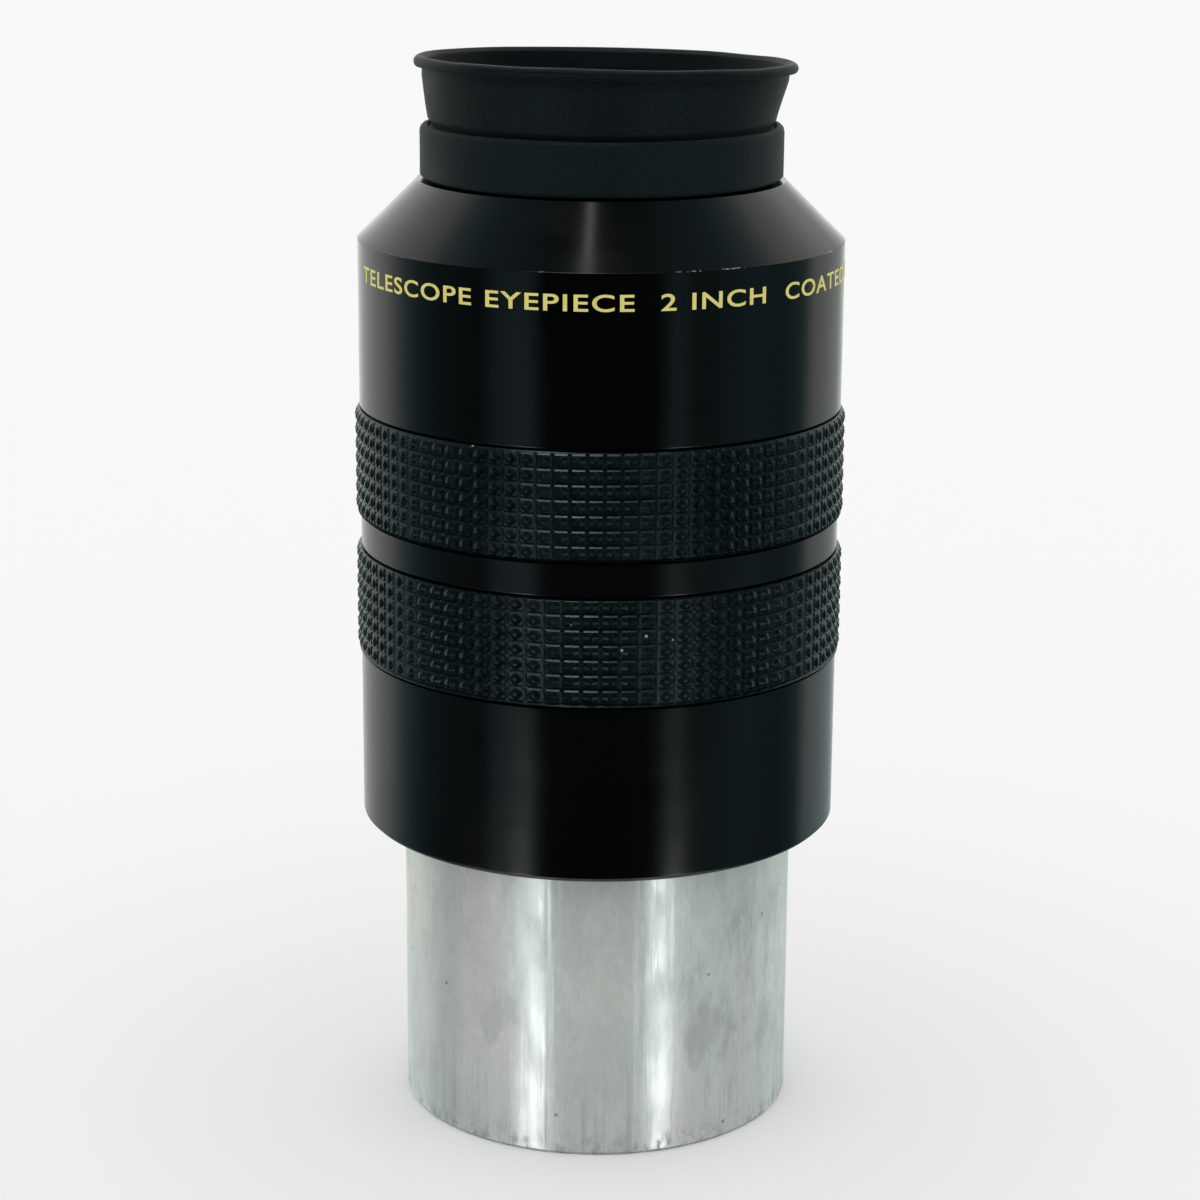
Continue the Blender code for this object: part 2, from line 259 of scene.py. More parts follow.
def rounded(outline, radius, closed=True):
    """The outline with each corner rounded, and a holding point either side of each one."""
    count = len(outline)
    made = []
    for i, (r, z) in enumerate(outline):
        corner = Vector((r, z))
        if not closed and i in (0, count - 1):
            made.append((r, z))
            continue
        before = Vector(outline[i - 1]) - corner
        after = Vector(outline[(i + 1) % count]) - corner
        turn = before.angle(after)
        if turn > STRAIGHT:
            made.append((r, z))
            continue
        room = min(before.length, after.length) * CORNER_SHARE
        cut = min(radius / math.tan(turn / 2), room)
        a = corner + before.normalized() * cut
        b = corner + after.normalized() * cut
        reach = min(CORNER_HOLD, 0.2 * room)
        made.append(tuple(a + before.normalized() * reach))
        for k in range(CORNER_STEPS + 1):
            t = k / CORNER_STEPS
            made.append(tuple(a * (1 - t) ** 2 + corner * 2 * t * (1 - t) + b * t ** 2))
        made.append(tuple(b + after.normalized() * reach))
    return made


def rounded_corners(outline, raw, radius):
    """Rounds only the corners that the raw outline has, and leaves the cuts between alone."""
    corners = {(round(r, 7), round(z, 7)) for r, z in raw}
    count = len(outline)
    made = []
    for i, point in enumerate(outline):
        if (round(point[0], 7), round(point[1], 7)) not in corners:
            made.append(point)
            continue
        trio = [outline[i - 1], point, outline[(i + 1) % count]]
        made.extend(rounded(trio, radius, closed=False)[1:-1])
    return made


def divided(outline, step, closed=True, chosen=lambda a, b: True):
    """The outline with its chosen sides cut into stretches no longer than step."""
    made = []
    count = len(outline)
    for i in range(count if closed else count - 1):
        a, b = Vector(outline[i]), Vector(outline[(i + 1) % count])
        parts = max(1, math.ceil((b - a).length / step)) if chosen(a, b) else 1
        made.extend(tuple(a.lerp(b, k / parts)) for k in range(parts))
    if not closed:
        made.append(outline[-1])
    return made


def add_object(name, data):
    """A new object in the scene."""
    made = bpy.data.objects.new(name, data)
    bpy.context.scene.collection.objects.link(made)
    return made


def even_angles(count=STEPS_ROUND):
    return [TAU * i / count for i in range(count)]


def turned(name, outline, closed=True, shape=None, angles=None, diagonal=None):
    """A mesh object turned about the axis from an outline that runs down its outer side.

    shape(r, z, angle) gives each point's own (x, y, z); diagonal(z, angle) says which way
    a face is split, +1 or -1, or 0 to leave it whole.
    """
    angles = angles or even_angles()
    build = bmesh.new()
    rings = []
    for r, z in outline:
        if r < 1e-7:
            rings.append([build.verts.new((0.0, 0.0, z))] * len(angles))
            continue
        ring = []
        for angle in angles:
            place = shape(r, z, angle) if shape else polar(r, z, angle)
            ring.append(build.verts.new(place))
        rings.append(ring)
    pairs = list(zip(rings, rings[1:]))
    middles = [(a[1] + b[1]) / 2 for a, b in zip(outline, outline[1:])]
    if closed:
        pairs.append((rings[-1], rings[0]))
        middles.append((outline[-1][1] + outline[0][1]) / 2)
    for (upper, lower), height in zip(pairs, middles):
        for i, angle in enumerate(angles):
            j = (i + 1) % len(angles)
            corners = [upper[i], lower[i], lower[j], upper[j]]
            bearing = (angle + (angles[j] if j else TAU)) / 2
            add_face(build, corners, diagonal(height, bearing) if diagonal else 0)
    mesh = bpy.data.meshes.new(name)
    build.to_mesh(mesh)
    build.free()
    mesh.shade_smooth()
    return add_object(name, mesh)


def add_face(build, corners, split):
    """One face of a turned mesh, whole or as two triangles."""
    unique = list(dict.fromkeys(corners))
    if len(unique) < 3:
        return
    if split == 0 or len(unique) == 3:
        build.faces.new(unique)
        return
    a, b, c, d = corners
    if split > 0:
        build.faces.new((a, b, d))
        build.faces.new((b, c, d))
    else:
        build.faces.new((a, b, c))
        build.faces.new((a, c, d))


# ---------------------------------------------------------------- materials

class Nodes:
    """Short ways to make the nodes of one tree."""

    def __init__(self, tree):
        self.tree = tree

    def node(self, kind, inputs=None, **settings):
        """A node, with a value or a linked output for each of the inputs named."""
        made = self.tree.nodes.new("ShaderNode" + kind)
        for key, value in settings.items():
            setattr(made, key, value)
        for key, value in (inputs or {}).items():
            self.plug(made.inputs[key], value)
        return made

    def plug(self, socket, value):
        """Links an output to the socket, or gives it a colour or a plain value."""
        if isinstance(value, bpy.types.NodeSocket):
            self.tree.links.new(value, socket)
        elif socket.type == "RGBA":
            socket.default_value = (*value, 1.0)
        else:
            socket.default_value = value

    def math(self, operation, a, b=0.0):
        return self.node("Math", {0: a, 1: b}, operation=operation).outputs[0]

    def range(self, value, low, high, out_low=0.0, out_high=1.0, kind="SMOOTHSTEP"):
        """Maps low..high to out_low..out_high, held at both ends."""
        made = self.node("MapRange", {"Value": value, "From Min": low, "From Max": high,
                                      "To Min": out_low, "To Max": out_high},
                         interpolation_type=kind)
        return made.outputs[0]

    def times(self, first, *others):
        for other in others:
            first = self.math("MULTIPLY", first, other)
        return first

    def plus(self, first, *others):
        for other in others:
            first = self.math("ADD", first, other)
        return first

    def apart(self, a, b):
        """How far a is from b."""
        return self.math("ABSOLUTE", self.math("SUBTRACT", a, b))

    def mix(self, factor, a, b):
        """Colour a turning into colour b as factor goes from 0 to 1."""
        return self.node("Mix", {0: factor, 6: a, 7: b}, data_type="RGBA").outputs[2]

    def bearing_of(self, x, y):
        """Degrees round the axis."""
        return self.times(self.math("ARCTAN2", x, self.times(y, -1.0)), 360 / TAU)


class Paint(Nodes):
    """A procedural material, built up from a few kinds of node."""

    def __init__(self, name, **values):
        self.material = bpy.data.materials.new(name)
        self.material.use_nodes = True
        super().__init__(self.material.node_tree)
        self.shader = self.tree.nodes["Principled BSDF"]
        self.place = self.node("TexCoord").outputs["Object"]
        for key, value in values.items():
            self.set(key.replace("_", " "), value)

    def set(self, socket, value):
        """A linked output, a colour or a plain value on the shader itself."""
        self.plug(self.shader.inputs[socket], value)

    def noise(self, scale, stretch=(1, 1, 1), detail=2.0, roughness=0.5, shift=0.0):
        place = self.node("Mapping", {"Vector": self.place, "Scale": stretch,
                                      "Location": (shift, shift, shift)})
        made = self.node("TexNoise", {"Vector": place.outputs[0], "Scale": scale,
                                      "Detail": detail, "Roughness": roughness})
        return made.outputs["Fac"]

    def blot(self, tone, mask, strength, colour):
        """The tone with a colour laid over it where the mask is, at no more than strength."""
        return self.mix(self.times(mask, strength), tone, colour)

    def height(self):
        return self.node("SeparateXYZ", {0: self.place}).outputs["Z"]

    def bearing(self):
        parts = self.node("SeparateXYZ", {0: self.place}).outputs
        return self.bearing_of(parts["X"], parts["Y"])

    def window(self, value, centre, half):
        """1 within 0.7 of half of centre, falling to 0 at half."""
        return self.range(self.apart(value, centre), half, half * 0.7)

    def specks(self, scale, share, size):
        """Mask of small scattered dots: share of the cells have one, size of its cell."""
        cells = self.node("TexVoronoi", {"Vector": self.place, "Scale": scale})
        near = self.range(cells.outputs["Distance"], size, size * 0.6)
        tone = self.node("SeparateColor", {0: cells.outputs["Color"]}).outputs[0]
        return self.times(near, self.math("GREATER_THAN", tone, 1 - share))

    def bump(self, height, distance, strength=1.0):
        made = self.node("Bump", {"Height": height, "Distance": distance,
                                  "Strength": strength})
        self.set("Normal", made.outputs[0])

    def on(self, piece):
        piece.data.materials.append(self.material)


def plating():
    """Barrel plating: hazy from handling, streaked along, stained, with painted shade on its
    two sides, and scuffed at the foot.
    """
    paint = Paint("worn_plating", Metallic=0.5, Specular_IOR_Level=0.5, Anisotropic=0.88,
                  Anisotropic_Rotation=0.25)
    paint.set("Tangent", paint.node("Tangent", direction_type="RADIAL", axis="Z").outputs[0])
    foot, top = heights("barrel")
    height, bearing = paint.height(), paint.bearing()
    cloud = paint.noise(75, detail=4, roughness=0.6)
    haze = paint.noise(170, stretch=(1, 1, 0.45), detail=6, roughness=0.68, shift=0.6)
    warm = paint.noise(42, stretch=(1, 1, 0.35), detail=3, shift=0.31)
    streak = paint.noise(900, stretch=(1, 1, 0.03), detail=3, roughness=0.6)
    grain = paint.noise(2400, stretch=(1, 1, 0.25), detail=2)
    scuff = paint.noise(650, stretch=(1, 1, 0.6), detail=5, roughness=0.7, shift=0.2)

    # Broad patches, clouds of haze and the fine grain
    tone = paint.mix(paint.range(warm, 0.42, 0.6), PLATE_COOL, PLATE_WARM)
    tone = paint.mix(paint.range(cloud, 0.45, 0.7, 0.0, 0.5), tone, PLATE_CLOUD)
    tone = paint.mix(paint.range(haze, 0.52, 0.62, 0.0, 0.55), tone, PLATE_HAZE)
    tone = paint.mix(paint.range(haze, 0.47, 0.36, 0.0, 0.5), tone, PLATE_BRIGHT)
    tone = paint.mix(paint.range(grain, 0.3, 0.7, 0.0, 0.16), tone, PLATE_GRAIN)
    # A stain, and painted shade darkening the barrel's two sides
    for centre, half, level, reach, clear, strength in STAINS_AND_SIDE_SHADE:
        place = paint.times(paint.window(bearing, centre, half),
                            paint.window(height, foot + (top - foot) * level, reach))
        stain_and_shade = paint.range(haze, clear, clear + 0.13, 0.0, strength)
        tone = paint.mix(paint.times(place, stain_and_shade), tone, PLATE_STAIN_AND_SIDE_SHADE)

    # Scratches that run up from the foot, its rubbed edge, and pits
    near_foot = paint.range(height, foot + 15 * MM, foot + 1 * MM)
    scratches = paint.times(paint.range(streak, 0.5, 0.7), near_foot)
    tone = paint.blot(tone, scratches, 0.5, PLATE_SCRATCH)
    edge = paint.range(height, foot + 3.6 * MM, foot + 0.4 * MM)
    rubbed = paint.times(paint.range(scuff, 0.48, 0.6), edge)
    tone = paint.blot(tone, rubbed, 0.7, PLATE_SCUFF)
    tone = paint.blot(tone, paint.specks(420, 0.10, 0.14), 0.7, PLATE_PIT)
    paint.set("Base Color", tone)

    # Haze and rubbing also dull the gloss
    gloss = paint.plus(paint.range(cloud, 0.35, 0.7, 0.36, 0.44),
                       paint.range(haze, 0.35, 0.65, -0.07, 0.08), paint.times(rubbed, 0.08))
    paint.set("Roughness", gloss)
    relief = paint.plus(streak, paint.times(haze, 1.6), paint.times(rubbed, -0.8))
    paint.bump(relief, 0.04 * MM)
    return paint


def anodised(name, colour, edge_z, worn_spans):
    """Black anodised aluminium with fine turning marks, rubbed bright along one edge.

    worn_spans lists (bearing, half width, share) for the stretches where the edge is worn.
    """
    paint = Paint(name, Specular_IOR_Level=0.375)
    marks = paint.noise(500, stretch=(0.02, 0.02, 1), detail=3)
    smear = paint.noise(60, detail=3, roughness=0.6)
    paint.set("Roughness", paint.plus(paint.range(smear, 0.3, 0.7, 0.12, 0.17),
                                      paint.range(marks, 0.3, 0.7, -0.01, 0.01)))
    chips = paint.noise(700, stretch=(1, 1, 0.3), detail=4, roughness=0.7)
    bearing = paint.bearing()
    worn = None
    for centre, half, share in worn_spans:
        limit = 0.62 - 0.2 * share
        here = paint.times(paint.window(bearing, centre, half),
                           paint.range(chips, limit, limit + 0.04))
        worn = here if worn is None else paint.math("MAXIMUM", worn, here)
    off = paint.apart(paint.height(), edge_z)
    bare = paint.times(worn, paint.range(off, EDGE_WEAR, EDGE_WEAR * 0.5))
    paint.set("Base Color", paint.mix(bare, colour, BARE_METAL))
    paint.set("Metallic", paint.times(bare, 0.6))
    return paint


def rubber(name, colour, dusty, roughness, grain, **values):
    """Moulded rubber: faint mottling, a fine grain and scattered flecks of dust."""
    paint = Paint(name, Specular_Tint=RUBBER_SHINE, **values)
    mottle = paint.noise(90, detail=4, roughness=0.6)
    fine = paint.noise(2600, detail=2)
    tone = paint.mix(paint.range(mottle, 0.35, 0.7), colour, dusty)
    tone = paint.mix(paint.range(fine, 0.38, 0.66, 0.0, 0.45), tone, RUBBER_GRAIN)
    paint.set("Base Color", paint.blot(tone, paint.specks(330, 0.12, 0.08), 0.8, DUST))
    paint.set("Roughness",
              paint.range(mottle, 0.3, 0.7, roughness - 0.05, roughness + 0.06))
    paint.bump(fine, grain, 0.7)
    return paint


def grip_rubber():
    return rubber("grip_rubber", (0.0002, 0.0012, 0.0016), (0.0012, 0.0026, 0.0030),
                  roughness=0.28, grain=0.01 * MM, Specular_IOR_Level=0.38)


# The darker copy of the eyecup rubber; the collar has a copy painted lighter, as if lit
def cup_rubber():
    return rubber("eyecup_rubber", (0.0001, 0.0012, 0.0018), (0.0008, 0.0024, 0.0030),
                  roughness=0.58, grain=0.03 * MM, Specular_IOR_Level=0.2, Sheen_Weight=0.04)


def lit_collar_rubber():
    """The cup's rubber painted lighter for the collar: a lit copy, standing in for the light
    that the upright collar catches and the flare, which faces a little downwards, does not.
    """
    return rubber("eyecup_rubber_painted_lit", (0.0006, 0.0034, 0.0044), (0.0018, 0.0050, 0.0060),
                  roughness=0.60, grain=0.03 * MM, Specular_IOR_Level=0.2, Sheen_Weight=0.05)


def matt_black():
    """Blackened surfaces inside the light path."""
    paint = Paint("matt_black", Specular_IOR_Level=0.25)
    cloud = paint.noise(300, detail=3)
    paint.set("Base Color", paint.mix(cloud, INNER_BLACK, INNER_GREY))
    paint.set("Roughness", paint.range(cloud, 0.3, 0.7, 0.6, 0.75))
    return paint


def glass(name, ior, film):
    """Polished glass under a coating, film nanometres thick, with a trace of dust on it."""
    paint = Paint(name, Transmission_Weight=1.0, IOR=ior, Thin_Film_Thickness=film,
                  Thin_Film_IOR=1.38)
    dust = paint.noise(700, detail=3)
    paint.set("Base Color", paint.mix(dust, GLASS_DUSTY, GLASS_CLEAR))
    paint.set("Roughness", paint.range(dust, 0.55, 0.8, 0.0, 0.03))
    return paint


def gold_paint():
    """Screen-printed lettering, thin and slightly rubbed."""
    paint = Paint("gold_paint", Roughness=0.45, Specular_IOR_Level=0.3)
    patch = paint.noise(420, detail=3)
    chips = paint.noise(900, detail=4, roughness=0.7, shift=0.17)
    tone = paint.mix(patch, GOLD_DEEP, GOLD_PALE)
    paint.set("Base Color", paint.mix(paint.range(chips, 0.66, 0.7), tone, GOLD_GONE))
    return paint


# ---------------------------------------------------------------- pieces

def thread(radius, low, high, pitch, depth, outside):
    """Shape of a thread on the wall at radius, between two heights.

    An outside thread keeps its crests at radius, and an inside one keeps its roots there.
    """
    def shape(r, z, angle):
        if abs(r - radius) < NEAR and low < z < high:
            phase = (z / pitch - angle / TAU) % 1.0
            fade = min(1.0, (z - low) / pitch, (high - z) / pitch)
            wave = abs(2 * phase - 1)
            r -= depth * fade * (wave if outside else 1 - wave)
        return polar(r, z, angle)
    return shape


def on_wall(radius):
    """Chooses the upright sides of an outline that stand at radius."""
    return lambda a, b: abs(a.x - radius) < NEAR and abs(b.x - radius) < NEAR


def finish_piece(piece, paint, body, slot, *nodes):
    """Paints a piece, hides the CAD nodes that it replaces, and attaches it to the body it
    moves with; slot is not used.
    """
    paint.on(piece)
    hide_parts(*nodes)
    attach(piece, body)


def make_barrel(paint):
    """The sleeve with its two threads, one round its spigot and one inside its foot.

    Corner 3 of its outline is the foot of the spigot, and corner 10 is the top of the filter
    thread's wall.
    """
    raw = outline_of("barrel")
    top = raw[0][1]
    spigot_r, shoulder_z = raw[3]
    filter_r, filter_top = raw[10]
    outline = divided(raw, MAIN_PITCH / THREAD_STEPS, chosen=on_wall(spigot_r))
    outline = divided(outline, FILTER_PITCH / THREAD_STEPS, chosen=on_wall(filter_r))
    main = thread(spigot_r, shoulder_z + MAIN_ENDS[0], top - MAIN_ENDS[1], MAIN_PITCH,
                  MAIN_DEPTH, outside=True)
    cell = thread(filter_r, FILTER_ENDS[0], filter_top - FILTER_ENDS[1], FILTER_PITCH,
                  FILTER_DEPTH, outside=False)

    def shape(r, z, angle):
        return main(r, z, angle) if z > shoulder_z else cell(r, z, angle)

    piece = turned("barrel_sleeve", rounded_corners(outline, raw, CORNER_ROUND), shape=shape)
    finish_piece(piece, paint, "barrel", "worn_plating", "barrel")


def make_tube(node, name, paint):
    """One of the housing's two tubes, its CAD outline with the corners rounded."""
    piece = turned(name, rounded(outline_of(node), CORNER_ROUND))
    finish_piece(piece, paint, "housing", "black_anodised", node)


def point_height(edge):
    """Height of a point above the band, edge going from 0 at its middle to 1 at its border."""
    if edge > WALL_EDGE:
        return POINT_WALL * max(0.0, (VALLEY_EDGE - edge) / (VALLEY_EDGE - WALL_EDGE))
    rise = min(1.0, (WALL_EDGE - edge) / (WALL_EDGE - TIP_EDGE))
    return POINT_WALL + (POINT_HEIGHT - POINT_WALL) * rise


def make_grip(node, paint, seed, points, start, margins):
    """A rubber band with rows of square points, each one a pyramid with a blunt tip."""
    low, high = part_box(node)
    outer, inner = high.x, min(r for r, z in outline_of(node))
    base = outer - POINT_HEIGHT
    bottom, top = low.z + margins[0], high.z - margins[1]
    row = (top - bottom) / POINT_ROWS
    stops = [-1.0, -VALLEY_EDGE, -WALL_EDGE, -TIP_EDGE, TIP_EDGE, WALL_EDGE, VALLEY_EDGE]
    levels = [bottom + row * (k + (s + 1) / 2) for k in range(POINT_ROWS) for s in stops]
    levels = [z for z in levels + [top] if low.z + GRIP_LIP < z < high.z - GRIP_LIP]
    levels.sort(reverse=True)
    angles = [start + TAU * (k + (s + 1) / 2) / points for k in range(points) for s in stops]
    outline = [(inner, high.z), (base - GRIP_LIP, high.z), (base, high.z - GRIP_LIP)]
    outline += [(base, z) for z in levels]
    outline += [(base, low.z + GRIP_LIP), (base - GRIP_LIP, low.z), (inner, low.z)]

    def cell(z, angle):
        """Where a place lies in its point: across and up, each from -1 to 1."""
        v = ((z - bottom) / row % 1.0) * 2 - 1
        u = ((angle - start) * points / TAU % 1.0) * 2 - 1
        return u, v

    def shape(r, z, angle):
        if abs(r - base) > 1e-7:
            return polar(r, z, angle)
        # The unevenness is read on a cylinder of radius 1, where heights count twenty times
        spot = Vector(polar(1.0, z * 20, angle))
        if bottom <= z <= top:
            u, v = cell(z, angle)
            r += point_height(max(abs(u), abs(v)))
            r += POINT_UNEVEN * noise.noise(spot * 6 + Vector((seed, 0, 0)))
        elif z < bottom:
            r += GRIP_FOOT_EDGE
        sway = POINT_SWAY * noise.noise(spot * 1.7 + Vector((0, seed, 0)))
        return polar(r, z + sway, angle)

    def diagonal(z, angle):
        """Splits each face along the ridge of the pyramid that it belongs to."""
        if not bottom < z < top:
            return 0
        u, v = cell(z, angle)
        return 1 if u * v < 0 else -1

    piece = turned(node + "_band", outline, shape=shape, angles=angles, diagonal=diagonal)
    piece.data.set_sharp_from_angle(angle=GRIP_SHARP)
    finish_piece(piece, paint, "housing", "grip_rubber", node)


def make_lettering(paint, base_z):
    """Generic wording printed round the top of the housing, made flat and then bent."""
    font = bpy.data.curves.new("lettering", "FONT")
    font.body = LETTERING
    font.size = CAP_HEIGHT / CAP_SHARE
    font.offset = LETTER_WEIGHT
    font.extrude = PAINT_THICKNESS
    font.space_character = LETTER_GAP
    holder = add_object("lettering_flat", font)
    bpy.context.view_layer.update()
    graph = bpy.context.evaluated_depsgraph_get()
    mesh = bpy.data.meshes.new_from_object(holder.evaluated_get(graph))
    bpy.data.objects.remove(holder)
    build = bmesh.new()
    build.from_mesh(mesh)
    bmesh.ops.remove_doubles(build, verts=build.verts, dist=0.001 * MM)
    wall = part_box("upper_housing")[1].x
    for vertex in build.verts:
        x, y, depth = vertex.co
        angle = LETTER_START + x * LETTER_STRETCH / wall
        vertex.co = polar(wall + PAINT_LIFT + depth, base_z + y, angle)
    build.to_mesh(mesh)
    build.free()
    mesh.name = "lettering"
    piece = add_object("lettering", mesh)
    paint.on(piece)
    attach(piece, "housing")


def cup_set(foot, top):
    """How the soft cup has set: leaning to +X and tilted, more towards its rim."""
    def move(r, z, angle):
        x, y, z = polar(r, z, angle)
        rise = smoothstep(foot, top, z)
        lumps = noise.noise(Vector((x, y, 0)) / CUP_LUMP_SIZE) * rise
        z += rise * (CUP_TILT_SIDE * math.sin(angle) + CUP_TILT_FRONT * math.cos(angle))
        z += CUP_LUMPS * lumps
        x += CUP_LEAN * rise
        swell = 1 + CUP_SWELL * lumps
        return (x * swell, y * swell, z)
    return move


def make_cup(paint):
    """Flare and rolled rim of the eyecup in one skin."""
    foot, _ = heights("eyecup_flare")
    rim_low, rim_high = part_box("eyecup_rim")
    wall = outline_of("eyecup_flare")
    foot_r = max(r for r, z in wall if abs(z - foot) < 1e-6)
    bend_r, bend_z = wall[2]
    inner_r = bend_r - CUP_WALL
    root = foot - CUP_ROOT
    bead = (rim_high.z - rim_low.z) / 2
    bead_r, bead_z = rim_high.x - bead, rim_low.z + bead

    # From inside the cup over the bead, down the flare to its undercut foot, and back up inside
    outline = [(inner_r + 0.45 * MM, bead_z + 0.25 * MM)]
    for degrees in range(140, -60, -10):
        turn = math.radians(degrees)
        outline.append((bead_r + bead * math.cos(turn), bead_z + bead * math.sin(turn)))
    outline += [(bend_r + 0.03 * MM, rim_low.z + 0.15 * MM), (bend_r, bend_z)]
    outline += [(foot_r + 0.03 * MM, foot + 0.35 * MM), (foot_r - 0.35 * MM, foot - 0.1 * MM)]
    outline += [(foot_r - 0.5 * MM, root), (foot_r - CUP_WALL, root), (inner_r, bend_z)]
    piece = turned("eyecup_cup", divided(outline, CUP_STEP), shape=cup_set(foot, rim_high.z))
    paint.on(piece)
    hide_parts("eyecup_flare", "eyecup_rim")
    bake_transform(piece)


def make_collar(paint):
    """Sleeve of the eyecup, a little uneven, with a groove in its top for the flare's foot."""
    raw = outline_of("eyecup_collar")
    outer = max(r for r, z in raw)
    low, high = heights("eyecup_collar")

    def shape(r, z, angle):
        x, y, z = polar(r, z, angle)
        soft = noise.noise(Vector((x, y, z)) / COLLAR_LUMP_SIZE)
        # The outer wall is uneven and has the nubs, and the top edge waves
        if r > outer - 1.0 * MM:
            r += COLLAR_UNEVEN * soft
            for at, size in NUBS:
                across = ((angle - at + math.pi) % TAU - math.pi) * outer
                r += size * math.exp(-(across ** 2 + (z - low) ** 2) / NUB_SPREAD ** 2)
        if z > high - 0.5 * MM:
            z += COLLAR_TOP_UNEVEN * soft
        return polar(r, z, angle)

    lip_r, lip_z = raw[0]
    corner_r = raw[1][0]
    floor_z = lip_z - CUP_ROOT
    groove = [(lip_r, lip_z), (corner_r - 0.95 * MM, lip_z), (corner_r - 0.75 * MM, floor_z),
              (corner_r - 0.25 * MM, floor_z), (corner_r, lip_z - 0.1 * MM)]
    outline = divided(rounded(groove + raw[2:], COLLAR_ROUND), COLLAR_STEP)
    piece = turned("eyecup_sleeve", outline, shape=shape)
    finish_piece(piece, paint, "eyecup", "eyecup_rubber", "eyecup_collar")


def make_rings(paint):
    """Finer turnings of the rings inside the light path."""
    for node, body in (("field_stop_ring", "field_stop"), ("lens_spacer", "housing"),
                       ("lens_retaining_ring", "housing")):
        piece = turned(node + "_fine", rounded(outline_of(node), RING_ROUND))
        finish_piece(piece, paint, body, "matt_black", node)


def make_lenses(crown, flint):
    """Finer turnings of the four elements."""
    for node, paint in (("eye_lens_flint", flint), ("eye_lens_crown", crown),
                        ("field_lens_crown", crown), ("field_lens_flint", flint)):
        outline = divided(outline_of(node), LENS_STEP, closed=False)
        piece = turned(node + "_polished", outline, closed=False,
                       angles=even_angles(LENS_STEPS_ROUND))
        slot = "crown_glass" if "crown" in node else "flint_glass"
        finish_piece(piece, paint, "housing", slot, node)


# ---------------------------------------------------------------- studio

def make_floor():
    """Pale floor, which gloss doesn't see."""
    mesh = bpy.data.meshes.new("floor")
    build = bmesh.new()
    bmesh.ops.create_grid(build, x_segments=1, y_segments=1, size=FLOOR_REACH)
    build.to_mesh(mesh)
    build.free()
    floor = add_object("floor", mesh)
    paint = Paint("pale_floor", Roughness=0.9, Specular_IOR_Level=0.0)
    paint.set("Base Color", FLOOR_COLOUR)
    paint.on(floor)
    floor.visible_glossy = False


class Studio(Nodes):
    """The world's nodes. room, strips, lamps, ceiling and front are its lights by direction."""

    def __init__(self):
        world = bpy.data.worlds.new("studio")
        bpy.context.scene.world = world
        world.use_nodes = True
        super().__init__(world.node_tree)
        self.tree.nodes.clear()
        direction = self.node("TexCoord").outputs["Generated"]
        self.x, self.y, self.z = self.node("SeparateXYZ", {0: direction}).outputs
        self.bearing = self.bearing_of(self.x, self.y)

    def levels(self, value, stops, low, high):
        """A level that follows the stops as value goes from low to high."""
        top = max(level for _, level in stops)
        made = self.node("ValToRGB", {0: self.range(value, low, high, kind="LINEAR")})
        elements = made.color_ramp.elements
        while len(elements) < len(stops):
            elements.new(0.5)
        for element, (position, level) in zip(elements, stops):
            element.position = (position - low) / (high - low)
            element.color = (level / top, level / top, level / top, 1.0)
        return self.times(made.outputs[0], top)

    def blend(self, factor, a, b):
        """Level a turning into level b as factor goes from 0 to 1."""
        return self.plus(a, self.times(factor, self.math("SUBTRACT", b, a)))

    def room(self):
        """Walls to the left and right, dimmer below the horizon, and a high back wall."""
        left = self.levels(self.y, LEFT_ROOM, -1, 1)
        right = self.levels(self.y, RIGHT_ROOM, -1, 1)
        walls = self.blend(self.range(self.x, -0.2, 0.2), left, right)
        walls = self.times(walls, self.levels(self.z, ROOM_DROP, -1, 1))
        high = self.levels(self.y, HIGH_ROOM, -1, 1)
        return self.blend(self.range(self.z, 0.15, 0.5), walls, high)

    def strips(self):
        """Tall narrow windows, seen in the black housing."""
        strips = self.levels(self.bearing, LOW_STRIPS, -180, 180)
        return self.times(strips, self.range(self.z, 0.3, 0.0),
                          self.range(self.z, -0.32, -0.14, 1.2, 1.0))

    def lamps(self):
        """Two low lamps, seen in the barrel."""
        band = self.times(self.range(self.z, -0.54, -0.50), self.range(self.z, -0.37, -0.41))
        return self.times(self.levels(self.bearing, LAMPS, -180, 180), band)

    def ceiling(self):
        """A narrow light overhead, wider towards the back, seen in the sloping shoulder."""
        reach = self.range(self.y, -0.1, 0.36, 0.015, 0.08)
        middle = self.range(self.y, -0.1, 0.36, -0.062, -0.10)
        across = self.math("DIVIDE", self.apart(self.x, middle), reach)
        return self.times(self.range(across, 1.3, 0.8), self.range(self.z, 0.82, 0.9),
                          CEILING_LIGHT)

    def front(self):
        """A light high in front, seen along the edges of the grips' points."""
        band = self.times(self.range(self.y, -0.22, -0.30), self.range(self.z, 0.83, 0.88))
        box = self.times(self.range(self.x, -0.80, -0.40), self.range(self.x, 0.02, -0.06))
        wash = self.times(self.range(self.x, -0.8, -0.6), self.range(self.x, 0.7, 0.5),
                          FRONT_WASH)
        return self.times(self.plus(box, wash), self.times(band, FRONT_LIGHT))

    def tinted(self, level):
        """A level as a colour, cool where it is dim."""
        tint = self.mix(self.range(level, 0.18, 0.80), DIM_TINT, BRIGHT_TINT)
        return self.node("VectorMath", {0: tint, "Scale": level}, operation="SCALE").outputs[0]


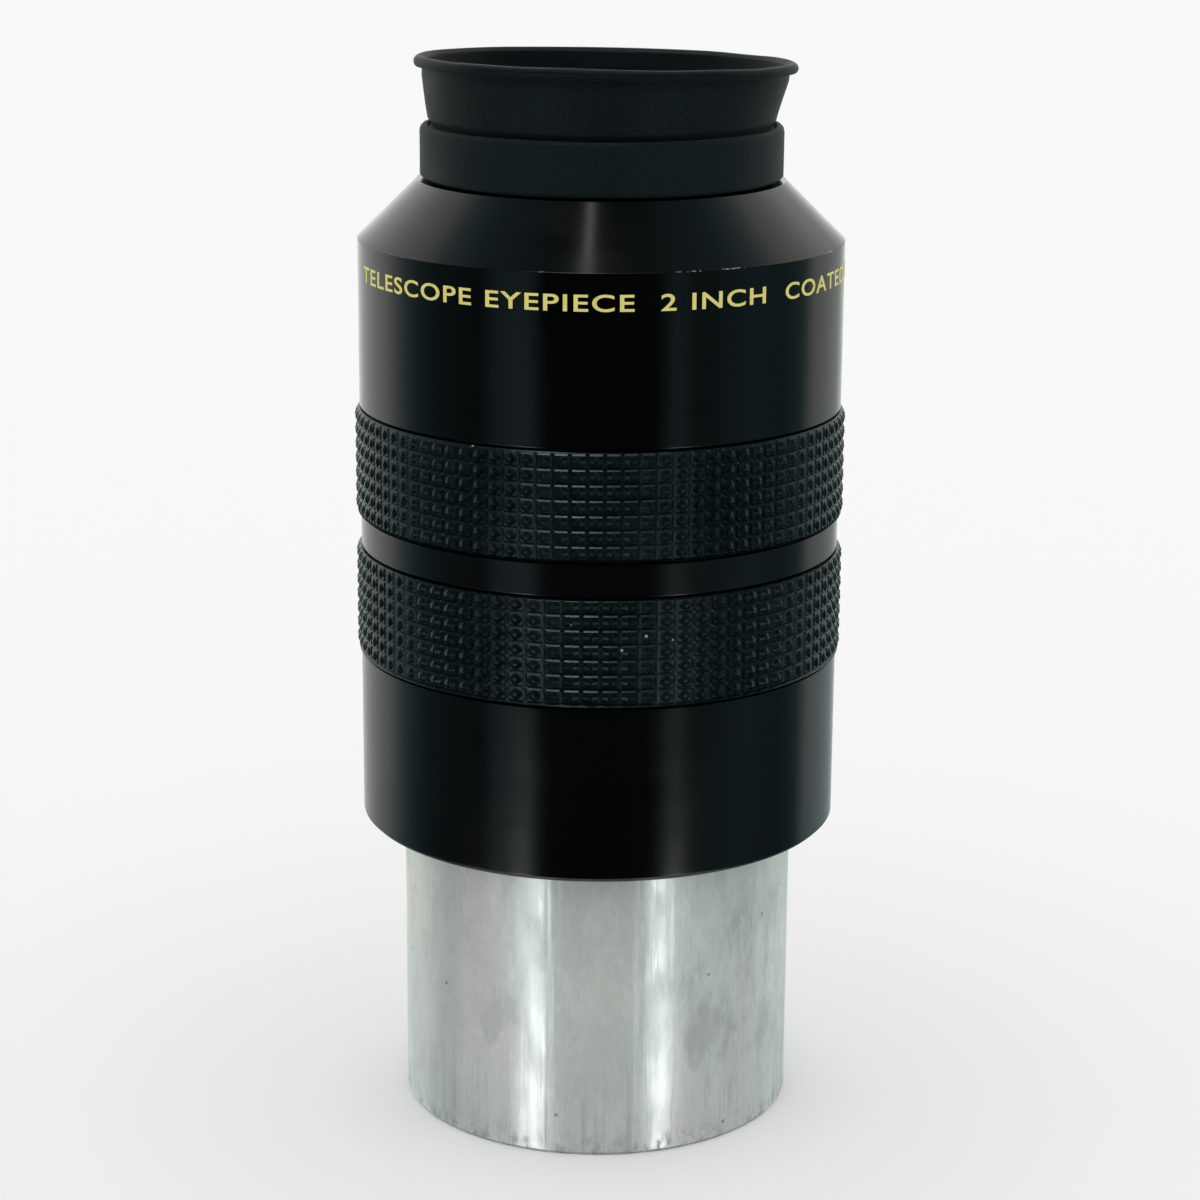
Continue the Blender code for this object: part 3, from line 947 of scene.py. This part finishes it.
def make_world():
    """White room for the eye and for soft light; a darker studio with lamps for gloss."""
    studio = Studio()
    soft = studio.plus(studio.room(), studio.strips())
    bright = studio.plus(studio.lamps(), studio.plus(studio.ceiling(), studio.front()))
    whole = studio.node("VectorMath", {0: studio.tinted(soft), 1: bright}, operation="ADD")
    gloss = studio.node("Background", {"Color": whole.outputs[0], "Strength": 1.0})
    plain = studio.node("Background", {"Color": (1.0, 1.0, 1.0), "Strength": PLAIN_LIGHT})
    is_gloss = studio.node("LightPath").outputs["Is Glossy Ray"]
    both = studio.node("MixShader", {0: is_gloss, 1: plain.outputs[0], 2: gloss.outputs[0]})
    out = studio.node("OutputWorld")
    studio.tree.links.new(both.outputs[0], out.inputs["Surface"])


def make_camera():
    """Camera at the viewing angle, turned a little about its own axis."""
    data = bpy.data.cameras.new("camera")
    data.lens = LENS
    data.sensor_width = 36
    data.clip_start = 0.01
    camera = add_object("camera", data)
    forward = Vector((0, math.cos(PITCH), -math.sin(PITCH)))
    up = Vector((0, math.sin(PITCH), math.cos(PITCH)))
    right = Vector((1, 0, 0))
    tilted_up = up * math.cos(ROLL) - right * math.sin(ROLL)
    tilted_right = right * math.cos(ROLL) + up * math.sin(ROLL)
    turn = Matrix((tilted_right, tilted_up, -forward)).transposed().to_4x4()
    camera.matrix_world = Matrix.Translation(EYE) @ turn
    bpy.context.scene.camera = camera


def make_eyepiece():
    """Every piece and its material."""
    foot_z, _ = heights("lower_housing")
    upper = outline_of("upper_housing")
    widest = max(r for r, z in upper)
    shoulder_z = next(z for r, z in upper if r > widest - NEAR)
    tube = anodised("black_anodised_tube", TUBE_BLACK, foot_z + FOOT_WEAR_UP, FOOT_WEAR)
    body = anodised("black_anodised", BODY_BLACK, shoulder_z + SHOULDER_WEAR_UP, SHOULDER_WEAR)
    points = grip_rubber()
    make_barrel(plating())
    make_tube("lower_housing", "lower_tube", tube)
    make_tube("upper_housing", "upper_tube", body)
    make_grip("lower_grip", points, **LOWER_GRIP)
    make_grip("upper_grip", points, **UPPER_GRIP)
    make_lettering(gold_paint(), shoulder_z - LETTER_DROP)
    make_collar(lit_collar_rubber())
    make_cup(cup_rubber())
    make_rings(matt_black())
    make_lenses(glass("crown_glass", ior=1.62, film=110.0),
                glass("flint_glass", ior=1.72, film=130.0))


make_eyepiece()
make_floor()
make_world()
make_camera()
bpy.context.scene.view_settings.view_transform = "Standard"
